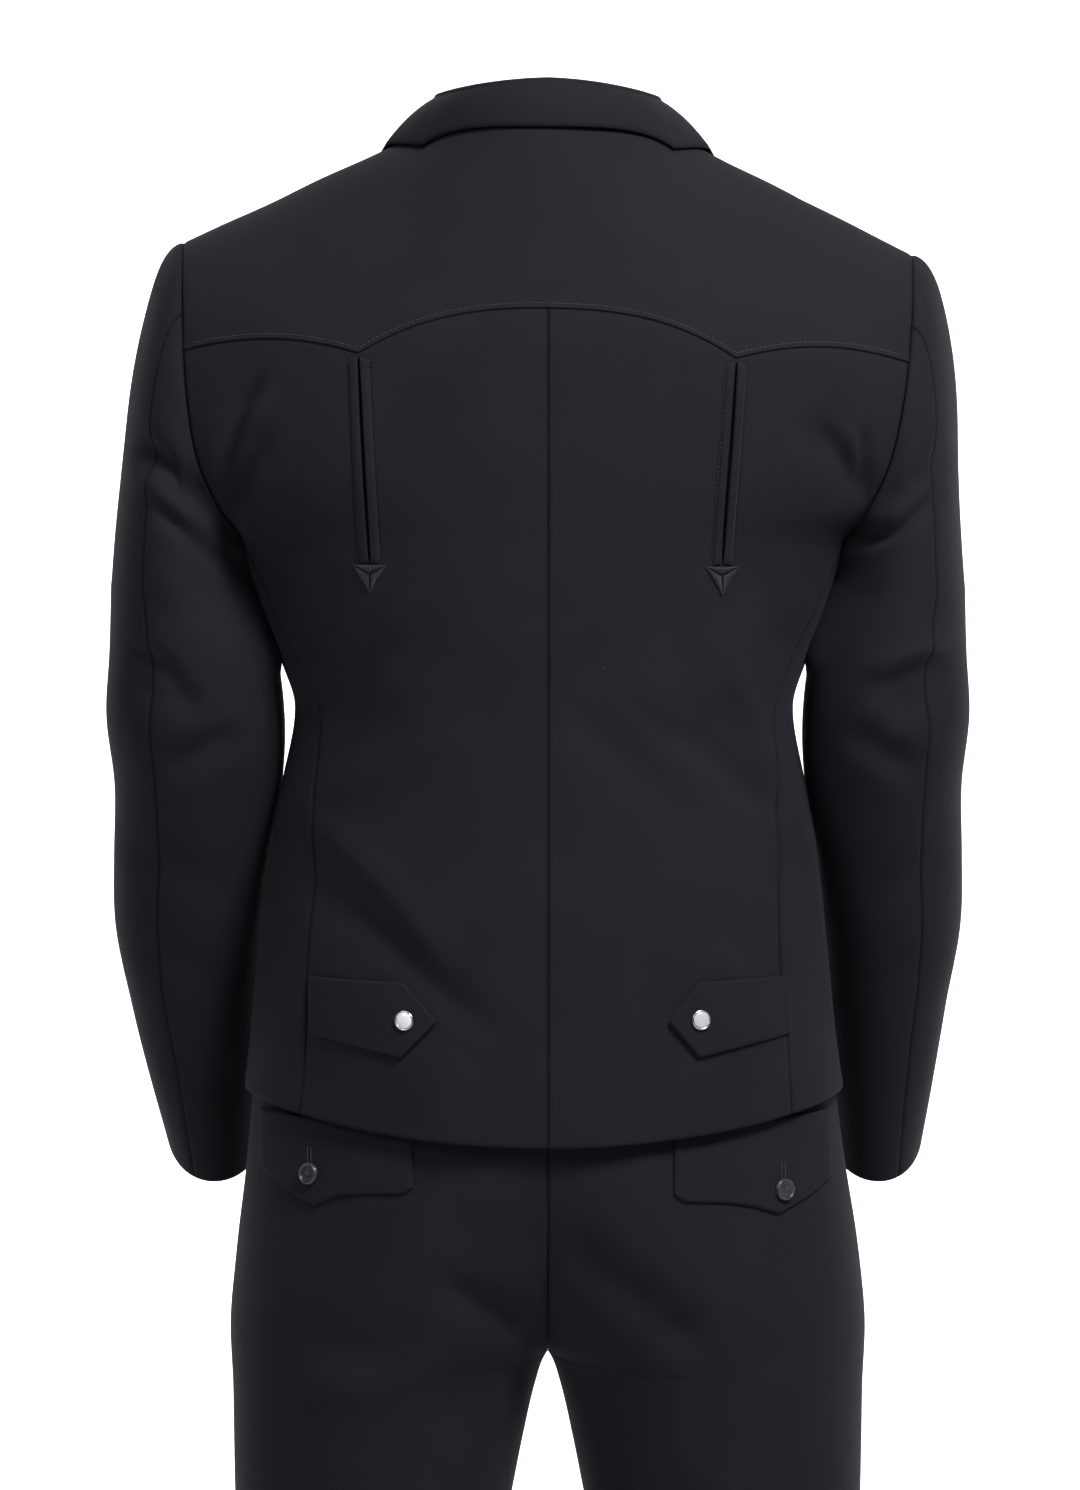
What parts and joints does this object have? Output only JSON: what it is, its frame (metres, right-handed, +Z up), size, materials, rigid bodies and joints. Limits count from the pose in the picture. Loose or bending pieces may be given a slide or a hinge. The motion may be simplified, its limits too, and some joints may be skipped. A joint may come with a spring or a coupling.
{
  "type": "western suit",
  "caption": "Short fitted western jacket with a scalloped back yoke, slits, pointed back tabs and notched collar, worn over full-length pressed trousers; hollow.",
  "frame": {"origin": "on the mid-plane, level with the highest point of the shoulder seams, where the wearer's shoulders carry the jacket", "axes": "+Z up, the wearer faces -Y, +X is the wearer's left"},
  "size_m": [0.564, 0.3012, 1.6293],
  "materials": {
    "suit_wool": "fine worsted wool blend, near black with a soft sheen",
    "tack_thread": "glossy black embroidery thread",
    "snap_pearl": "white pearl cap in a thin bright rim",
    "button_horn": "dark mottled horn, polished"
  },
  "bodies": {
    "root": {"back_yoke": "suit_wool", "collar": "suit_wool", "back_left": "suit_wool", "side_left": "suit_wool", "front_left": "suit_wool", "lapel_left": "suit_wool", "top_sleeve_left": "suit_wool", "under_sleeve_left": "suit_wool", "back_leg_left": "suit_wool", "front_leg_left": "suit_wool", "waistband_left": "suit_wool", "back_tab_left": "suit_wool", "pocket_flap_left": "suit_wool", "slit_welt_left_outer": "suit_wool", "slit_welt_left_inner": "suit_wool", "arrow_tack_left": "tack_thread", "tab_snap_left": "snap_pearl", "flap_button_left": "button_horn", "back_right": "suit_wool", "side_right": "suit_wool", "front_right": "suit_wool", "lapel_right": "suit_wool", "top_sleeve_right": "suit_wool", "under_sleeve_right": "suit_wool", "back_leg_right": "suit_wool", "front_leg_right": "suit_wool", "waistband_right": "suit_wool", "back_tab_right": "suit_wool", "pocket_flap_right": "suit_wool", "slit_welt_right_outer": "suit_wool", "slit_welt_right_inner": "suit_wool", "arrow_tack_right": "tack_thread", "tab_snap_right": "snap_pearl", "flap_button_right": "button_horn", "front_snap_upper": "snap_pearl", "front_snap_lower": "snap_pearl", "trouser_fly": "suit_wool", "waist_button": "button_horn"}
  },
  "joints": []
}
